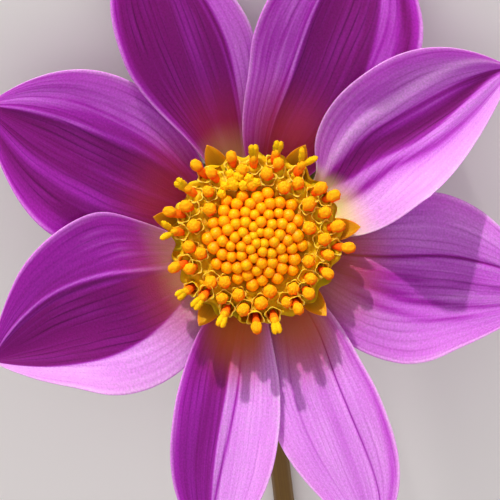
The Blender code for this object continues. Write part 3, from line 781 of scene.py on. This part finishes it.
# rings along a centre line: centre(w) + radius(w, turn) * (side cos + side2 sin), roughened by two waves
def tubeRings(centres, radii, sideA, sideB, around, rough, phase):
    turn = fullTurn(around)[None, :, None]
    w = np.arange(len(centres))[:, None, None]
    bumps = np.sin(4 * turn + 2.1 * w + phase) + np.sin(3 * turn - 3.3 * w + 2 * phase)
    wide = radii[:, None, None] * (1.0 + rough * bumps)
    return centres[:, None, :] + wide * (np.cos(turn) * sideA + np.sin(turn) * sideB)


# 0..1, how far each place of a round body faces away from the key lamp, used as painted shade
def paintedShadeAwayFromLamp(vertices, middle):
    return smooth(-0.35, 0.8, unit(vertices - middle) @ np.array([0.4, -0.72, -0.57]))


# one open floret: corolla tube with five lobes, anther column and pollen ball, or on the older ones a
# style of two branches. age runs from 0, just opening, to 1, the outermost
def floretBodies(azimuth, radius, height, lean, length, age, styled, chance, forked):
    axes = leaningAxes(azimuth, lean)
    out, across, up = axes
    mouth = polar(radius, azimuth, height)
    bodies = []
    around = openFlorets["around"]
    turn = fullTurn(around)
    lobes = (0.5 + 0.5 * np.cos(5 * turn + chance * 6.0)) ** 0.9
    wide = openFlorets["mouth"] * mix(0.7, 1.0, smooth(0.04, 0.3, age)) * mix(0.93, 1.08, chance)
    thin = openFlorets["tube"]
    # (height, radius, lobe, inside: brown down the hollow, partly its own colour and partly painted shade)
    profile = [
        (-length, 0.3, 0, 0), (0.02 - length, thin, 0, 0), (-0.62 * length, thin * 1.05, 0, 0),
        (-2.0, thin * 1.25, 0, 0), (-1.5, wide * 0.72, 0, 0), (-1.0, wide * 0.88, 0, 0),
        (-0.5, wide * 0.96, 0.1, 0), (-0.1, wide, 0.5, 0.0), (0.06, wide * 1.03, 1, 0.0),
        (0.07, wide * 0.99, 1, 0.0), (-0.12, wide * 0.93, 0.5, 0.35), (-0.5, wide * 0.86, 0.1, 0.8),
        (-1.0, wide * 0.78, 0, 1), (-1.5, wide * 0.6, 0, 1), (-1.8, 0.1, 0, 1),
    ]
    curl = 0.3 * mix(0.6, 1.4, chance)
    rings = np.stack([
        polar(r + l * openFlorets["lobe"] * lobes, turn, h + l * curl * (lobes - 0.5))
        for h, r, l, _ in profile
    ])
    vertices, faces, uv = ringBody(placeRings(rings, mouth, axes))
    insideBrownAndShade = [p[3] for p in profile]
    rim = [0, 0, 0, 0, 0, 0, 0.12, 0.5, 1, 1, 0.7, 0, 0, 0, 0]
    perVertex = lambda v: np.concatenate([np.repeat(v, around), [v[0], v[-1]]])
    bodies.append((vertices, faces, uv, 0, tints(len(uv), perVertex(rim), perVertex(insideBrownAndShade), chance)))
    # anther column: leans outwards as it grows
    grown = mix(0.15, 0.8, smooth(0.1, 0.9, age)) + 0.3 * chance
    leanOut = mix(0.15, 1.5, smooth(0.02, 0.95, age)) * (0.6 + 0.7 * chance)
    leanOut = leanOut * mix(1.0, 0.5, smooth(0.0, 1.0, -math.sin(azimuth)))
    w = np.linspace(0, 1, 12)
    centres = (
        mouth + up * (-1.9 + (1.9 + grown) * w)[:, None]
        + out * (leanOut * w**2)[:, None] + across * (0.5 * (chance - 0.5) * w)[:, None]
    )
    radii = mix(0.46, 0.68, smooth(0.2, 0.95, w))
    vertices, faces, uv = ringBody(tubeRings(centres, radii, out, across, 15, 0.05, 7 * chance))
    bodies.append((vertices, faces, uv, 1, tints(len(uv), 1.0 - 0.5 * uv[:, 1] ** 2, 0, chance)))
    tip = centres[-1]
    bend = unit(centres[-1] - centres[-3])
    bentOut = np.cross(across, bend)
    # pollen ball
    ball = mix(0.98, 0.88, smooth(0.1, 0.6, age)) * mix(0.92, 1.1, random.random())
    if styled:
        ball = 0.62
    a = np.linspace(math.pi - 0.12, 0.12, 15)[:, None]
    lump = 1.0 + 0.06 * np.cos(5 * turn + 9 * chance) * np.sin(a) ** 2
    lump = lump + 0.05 * np.sin(4 * turn - 5 * a + 4 * chance)
    lump = ball * (lump + 0.035 * np.sin(9 * turn + 7 * a + 11 * chance) * np.sin(a))
    tall = mix(1.05, 1.3, smooth(0.2, 0.8, age))
    ballRings = polar(lump * np.sin(a) ** 0.85, turn, lump * tall * np.cos(a))
    vertices, faces, uv = ringBody(placeRings(ballRings, tip, (bentOut, across, bend)))
    # the pollen ball darker on its side away from the key lamp: painted shade
    bodies.append((vertices, faces, uv, 2, tints(len(uv), paintedShadeAwayFromLamp(vertices, tip), 0, chance)))
    # two-branched style, furred with pollen
    if styled:
        reach = mix(1.5, 2.6, chance)
        spread = 0.6 if forked else 0.08
        w = np.linspace(0, 1, 26)
        for hand in (-1, 1):
            path = (
                tip + bend * (0.2 + reach * w)[:, None]
                + across * (hand * (0.2 + spread * reach * w**1.2))[:, None]
                + out * (0.2 * reach * w**1.5)[:, None] + up * (0.1 * np.sin(7 * w + 5 * chance))[:, None]
            )
            radii = 0.47 * (0.5 + 0.5 * np.sin(math.pi * w**1.1) ** 0.7) * (1.0 - smooth(0.8, 1.0, w) * 0.8)
            rings = tubeRings(path, radii, out, across, 14, 0.17, 5 * chance + 2 * hand)
            vertices, faces, uv = ringBody(rings)
            # the style darker on its side away from the key lamp: painted shade
            shade = 0.5 * paintedShadeAwayFromLamp(vertices, path.mean(0))
            bodies.append((vertices, faces, uv, 3, tints(len(uv), shade, 0, chance)))
    return bodies


floretMaterials = [corollaTissue, antherPollen, antherPollen, stylePollen]
extraBodies = []
total = openFlorets["nodes"] + openFlorets["extra"]
for number in range(total):
    age = number / (total - 1)
    azimuth = goldenAngle * (disc["buds"] + 1 + number)
    near = lambda places: any(abs((math.degrees(azimuth) - a + 180.0) % 360.0 - 180.0) < 6.0 for a in places)
    styled = number >= openFlorets["firstStyled"] and near(openFlorets["styles"])
    radius = math.sqrt(mix(openFlorets["firstRadius"] ** 2, openFlorets["lastRadius"] ** 2, age))
    radius += 0.22 * random.standard_normal()
    azimuth += 0.03 * random.standard_normal()
    height = mix(*openFlorets["height"], age) + 0.15 * random.standard_normal()
    height += openFlorets["stemSideRise"] * smooth(0.0, 1.0, -math.sin(azimuth)) * smooth(0.3, 0.9, age)
    lean = mix(*openFlorets["lean"], age)
    bodies = floretBodies(
        azimuth, radius, height, lean, mix(*openFlorets["length"], age), age, styled, random.random(),
        near(openFlorets["forked"]),
    )
    if number < openFlorets["nodes"]:
        node = f"open_floret_{number + 1:02d}"
        makePiece(node + "_look", bodies, floretMaterials, [node])
    else:
        extraBodies.extend(bodies)
# shed pollen heaped on one side of the ring: lumps (azimuth, radius, height, size)
pollenHeap = (
    (104, 8.3, 7.9, 0.8), (113, 8.9, 7.8, 0.9), (97, 9.2, 7.9, 0.75), (121, 9.3, 7.7, 0.7),
    (106, 9.8, 7.7, 0.85), (90, 8.5, 7.9, 0.7), (128, 8.6, 7.7, 0.7), (112, 10.6, 7.4, 0.7),
    (99, 10.7, 7.5, 0.6),
)
a = np.linspace(math.pi - 0.12, 0.12, 15)[:, None]
turn = fullTurn(24)
for angle, radius, height, size in pollenHeap:
    lump = 1.0 + 0.09 * np.cos(5 * turn + angle) * np.sin(a) + 0.07 * np.sin(4 * turn - 6 * a + angle)
    middle = polar(radius, math.radians(angle), height)
    vertices, faces, uv = ringBody(polar(size * lump * np.sin(a), turn, size * lump * np.cos(a)) + middle)
    # each lump darker on its side away from the key lamp: painted shade
    extraBodies.append((vertices, faces, uv, 3, tints(len(uv), 0.4 * paintedShadeAwayFromLamp(vertices, middle), 0, 0)))
# crowded lobes between the mouths: a ring sheet, height falling outwards, waved and scalloped, and browner
# towards its inner edge: painted shade between the cups
collar = {"inner": 7.7, "outer": 12.9, "height": (7.0, 6.5), "wave": 0.3, "thickness": 0.1}
w, turn = np.meshgrid(np.linspace(0, 1, 40), np.linspace(0, 2 * math.pi, 361), indexing="ij")
scallop = 1.0 + 0.035 * np.sin(21 * turn) * smooth(0.5, 1.0, w)
radius = mix(collar["inner"], collar["outer"], w) * scallop
ripple = collar["wave"] * np.sin(17 * turn + 9 * w) * np.cos(12 * turn - 14 * w)
height = mix(*collar["height"], w**1.5) + ripple
vertices, faces, _ = sheetBody(polar(radius, turn, height), np.full(w.shape, collar["thickness"]))
uv = np.stack([sheetValues(turn * 4), sheetValues(w)], -1)
extraBodies.append((vertices, faces, uv, 0, tints(len(uv), 0.0, 0.1 + 0.5 * (1 - uv[:, 1]) ** 3, 0.3)))
makePiece("outermost_florets", extraBodies, floretMaterials, ())
print("open florets made")


leafShape = (0.45, 2.4, 0.8)


# a leaf-shaped sheet at an azimuth: its centre line (radius, height) for s, half width
# w * (f + g s) * (1 - s)^p with shape (f, g, p), edges lifted by channel * t^2 and waved
def bladeBody(azimuth, route, blade, along=40, across=25):
    s, t = np.meshgrid(np.linspace(0, 1, along), np.linspace(-1, 1, across), indexing="ij")
    radius, _ = route(s, azimuth)
    f, g, power = blade["shape"]
    share = np.maximum(0.03, (f + g * s) * (1.0 - s) ** power)
    aside = t * blade["halfWidth"] * share
    _, height = route(s, azimuth + np.arctan2(aside, radius))
    lift = blade["channel"] * t * t * share + blade["wave"] * np.sin(9 * s + azimuth) * t * share
    surface = np.stack([
        radius * math.cos(azimuth) - aside * math.sin(azimuth),
        radius * math.sin(azimuth) + aside * math.cos(azimuth),
        height + lift,
    ], -1)
    vertices, faces, _ = sheetBody(surface, blade["thickness"] * mix(1.0, 0.45, np.abs(t)))
    uv = np.stack([sheetValues((t + 1) / 2), sheetValues(s)], -1)
    return vertices, faces, uv, 0, tints(len(uv), uv[:, 1], 0.85 * np.abs(2 * uv[:, 0] - 1) ** 5, 0)


# a blade at each azimuth, standing for the CAD node of its number
def makeBlades(node, blades, route, material):
    for number, azimuth in enumerate(blades["azimuths"], 1):
        body = bladeBody(math.radians(azimuth), route, blades)
        makePiece(f"{node}_{number}_look", [body], [material], [f"{node}_{number}"])


chaff = {
    "azimuths": (6.0, 62.0, 118.0, 168.5, 237.0, 312.0), "halfWidth": 2.2, "thickness": 0.16,
    "channel": 0.5, "wave": 0.2, "shape": (0.8, 1.1, 0.85),
}
chaffRoute = lambda s, _: (mix(9.75, 16.1, s**0.8), mix(0.7, 7.4, s))
makeBlades("chaff_scale", chaff, chaffRoute, chaffTissue)

# narrow chaff between the open florets, in one piece
paleae = {
    "count": 34, "halfWidth": 1.7, "thickness": 0.12, "channel": 0.7, "wave": 0.2, "shape": leafShape,
    "foot": (7.7, 1.4), "tip": (11.3, 6.0), "along": 24, "across": 15,
}
bodies = []
for number in range(paleae["count"]):
    out = 1.35 * (number / paleae["count"]) ** 1.5
    (low, deep), (far, high) = paleae["foot"], paleae["tip"]
    route = lambda s, _: (mix(low, far + out, s**0.8), mix(deep, high - 0.5 * out, s))
    bodies.append(bladeBody(goldenAngle * (number + 0.5), route, paleae, paleae["along"], paleae["across"]))
makePiece("chaff_between_florets", bodies, [chaffTissue], ())

innerBracts = {
    "azimuths": [12.0 + 45.0 * k for k in range(8)], "halfWidth": 3.8, "thickness": 0.3,
    "channel": 0.5, "wave": 0.25, "shape": leafShape,
}


# along the bowl of the petals, a little under it
def innerRoute(s, angle):
    radius = mix(7.6, 24.0, s)
    return radius, bowlHeight(radius, angle) - mix(1.7, 2.3, smooth(0.0, 0.6, s))


makeBlades("inner_bract", innerBracts, innerRoute, bractTissue)

outerBracts = {
    "azimuths": [54.0 + 72.0 * k for k in range(5)], "halfWidth": 2.7, "thickness": 0.55,
    "channel": 0.5, "wave": 0.1, "shape": leafShape,
}
outerRoute = lambda s, _: (mix(3.3, 14.5, s), -5.35 + 0.5 * np.sin(math.pi * s))
makeBlades("outer_bract", outerBracts, outerRoute, greenTissue)

receptacle = {
    "profile": (
        (0.2, -5.2), (1.6, -5.15), (2.6, -5.0), (3.4, -4.5), (5.0, -3.6), (6.8, -2.6), (8.2, -1.8),
        (9.0, -1.2), (9.4, -0.6), (9.35, -0.1), (9.0, 0.6), (8.0, 1.15), (6.4, 1.6), (4.2, 1.95),
        (2.0, 2.15), (0.2, 2.2),
    ),
}
turn = fullTurn(60)
rings = np.stack([
    polar(r * (1 + 0.02 * np.cos(8 * turn) * smooth(1, 5, r)), turn, h) for r, h in receptacle["profile"]
])
vertices, faces, uv = ringBody(rings)
makePiece("receptacle_look", [(vertices, faces, uv, 0, tints(len(uv), 0.3, 0, 0))], [greenTissue],
          ["receptacle"])
print("chaff, bracts and receptacle made")


stem = {
    "socket": -5.55, "top": 1.55, "end": 1.85, "flare": 0.2, "flareEnd": 0.4, "straight": 84.0,
    "heading": 5.0, "drift": 7.0, "bendPoints": 12, "straightPoints": 9, "ribs": 8, "rings": 190,
    "cut": ((0.0, 0.94), (-0.03, 0.7), (-0.1, 0.42), (-1.4, 0.36), (-2.4, 0.1)),
}


# the stem's centre line in the world, in millimetres: one bend of constant radius, then along the surface
def stemPath():
    tilt = math.radians(head["tilt"])
    start = np.array(head["place"]) + np.array([0, math.sin(tilt), math.cos(tilt)]) * stem["socket"]
    steepest = math.pi / 2 - tilt
    bendRadius = (start[2] - stem["top"]) / (1 - math.cos(steepest))
    points, radii = [start], [stem["top"] * (1 + stem["flare"])]
    for step in range(1, stem["bendPoints"] + 1):
        done = step / stem["bendPoints"]
        slope = steepest * (1 - (step - 0.5) / stem["bendPoints"])
        heading = math.radians(stem["heading"]) * done
        level = np.array([math.sin(heading), -math.cos(heading), 0.0])
        course = level * math.cos(slope) - np.array([0, 0, math.sin(slope)])
        points.append(points[-1] + course * bendRadius * steepest / stem["bendPoints"])
        radii.append(stem["top"] * (1 + stem["flare"] * (1 - smooth(0, stem["flareEnd"], done))))
    for step in range(1, stem["straightPoints"] + 1):
        done = step / stem["straightPoints"]
        heading = math.radians(mix(stem["heading"], stem["drift"], done))
        radii.append(mix(stem["top"], stem["end"], done))
        level = np.array([math.sin(heading), -math.cos(heading), 0.0])
        place = points[-1] + level * stem["straight"] / stem["straightPoints"]
        points.append(np.array([place[0], place[1], radii[-1]]))
    return np.array(points), np.array(radii)


points, radii = stemPath()
steps = np.concatenate([[0], np.cumsum(np.linalg.norm(np.diff(points, axis=0), axis=1))])
w = np.linspace(0, steps[-1], stem["rings"])
path = np.stack([np.interp(w, steps, points[:, i]) for i in range(3)], -1)
wide = np.interp(w, steps, radii)
# the line's corners are rounded by a moving average over eleven places, with both ends mirrored
kernel = np.hanning(11) / np.hanning(11).sum()
for i in range(3):
    padded = np.concatenate([
        2 * path[0, i] - path[5:0:-1, i], path[:, i], 2 * path[-1, i] - path[-2:-7:-1, i]
    ])
    path[:, i] = np.convolve(padded, kernel, mode="valid")
tangent = unit(np.gradient(path, axis=0))
side = unit(np.cross(tangent, np.array([0.0, 0.0, 1.0])))
above = np.cross(side, tangent)
turn = fullTurn(48)[None, :]
ribbed = 1.0 - 0.035 * (0.5 - 0.5 * np.cos(stem["ribs"] * turn)) + 0.0 * w[:, None]
rings = (
    path[:, None, :]
    + (wide[:, None] * ribbed * np.cos(turn))[..., None] * above[:, None, :]
    + (wide[:, None] * ribbed * np.sin(turn))[..., None] * side[:, None, :]
)
# the cut: rings (depth, share of the last ring's width) that turn in to the rim, then down into the hollow
rim = rings[-1] - path[-1]
for depth, share in stem["cut"]:
    rings = np.concatenate([rings, (path[-1] + tangent[-1] * depth + rim * share)[None]])
vertices, faces, uv = ringBody(rings)
body = (vertices * 0.001, faces, uv, 0, tints(len(uv), smooth(0.1, 0.6, uv[:, 1]), 0, 0))
makePiece("stem_look", [body], [stemSkin], ["stem"], world=False)
print("stem made")


floorSize = 2.5
floorMesh = bpy.data.meshes.new("floor")
floorMesh.from_pydata(
    [(x * floorSize, y * floorSize, 0.0) for x, y in ((-1, -1), (1, -1), (1, 1), (-1, 1))], [], [(0, 1, 2, 3)]
)
floor = bpy.data.objects.new("floor", floorMesh)
scene.collection.objects.link(floor)
floorPaint, _ = newMaterial("paleMattBoard")
floorMesh.materials.append(finishMaterial(floorPaint, Base_Color=linear("#FAF8F4"), Roughness=0.9))
floor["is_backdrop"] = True

headPlace = Vector(head["place"]) * 0.001
tilt = math.radians(head["tilt"])
right = Vector((1, 0, 0))
imageUp = Vector((0, math.cos(tilt), -math.sin(tilt)))
facing = Vector((0, math.sin(tilt), math.cos(tilt)))


# a round lamp aimed at the head, at an azimuth round the way the head faces and an elevation above the
# petals' plane, in degrees, with its distance and size in metres and its power in watts
def areaLight(name, azimuth, elevation, distance, size, power, colour, spread=180.0):
    az, el = math.radians(azimuth), math.radians(elevation)
    towards = (right * math.cos(az) + imageUp * math.sin(az)) * math.cos(el) + facing * math.sin(el)
    data = bpy.data.lights.new(name, "AREA")
    data.shape = "DISK"
    data.size = size
    data.energy = power
    data.color = colour
    data.spread = math.radians(spread)
    lamp = bpy.data.objects.new(name, data)
    lamp.location = headPlace + towards * distance
    lamp.rotation_mode = "QUATERNION"
    lamp.rotation_quaternion = (-towards).to_track_quat("-Z", "Y")
    scene.collection.objects.link(lamp)


lights = {
    "key": {
        "azimuth": 108.0, "elevation": 31.5, "distance": 0.9, "size": 0.03, "power": 0.33,
        "colour": (1.0, 0.98, 0.95), "spread": 36.0,
    },
    "fill": {
        "azimuth": 200.0, "elevation": 75.0, "distance": 1.0, "size": 0.8, "power": 1.0,
        "colour": (1.0, 0.92, 0.96),
    },
}
for name, light in lights.items():
    areaLight(name, **light)

room = {"Color": (1.0, 0.96, 0.98, 1.0), "Strength": 0.58}
world = bpy.data.worlds.new("softRoom")
world.use_nodes = True
for key, value in room.items():
    world.node_tree.nodes["Background"].inputs[key].default_value = value
scene.world = world

view = {"distance": 0.5, "frame": 0.078, "shiftX": -0.94, "shiftY": -1.875, "sensor": 36.0, "nearest": 0.01}
cameraData = bpy.data.cameras.new("camera")
cameraData.sensor_width = view["sensor"]
cameraData.lens = view["sensor"] * view["distance"] / view["frame"]
cameraData.clip_start = view["nearest"]
camera = bpy.data.objects.new("camera", cameraData)
scene.collection.objects.link(camera)
target = headPlace + (right * view["shiftX"] + imageUp * view["shiftY"]) * 0.001
place = target + facing * view["distance"]
camera.matrix_world = Matrix.Translation(place) @ Matrix((right, imageUp, facing)).transposed().to_4x4()
scene.camera = camera
print("camera and lights made")

low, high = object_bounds()
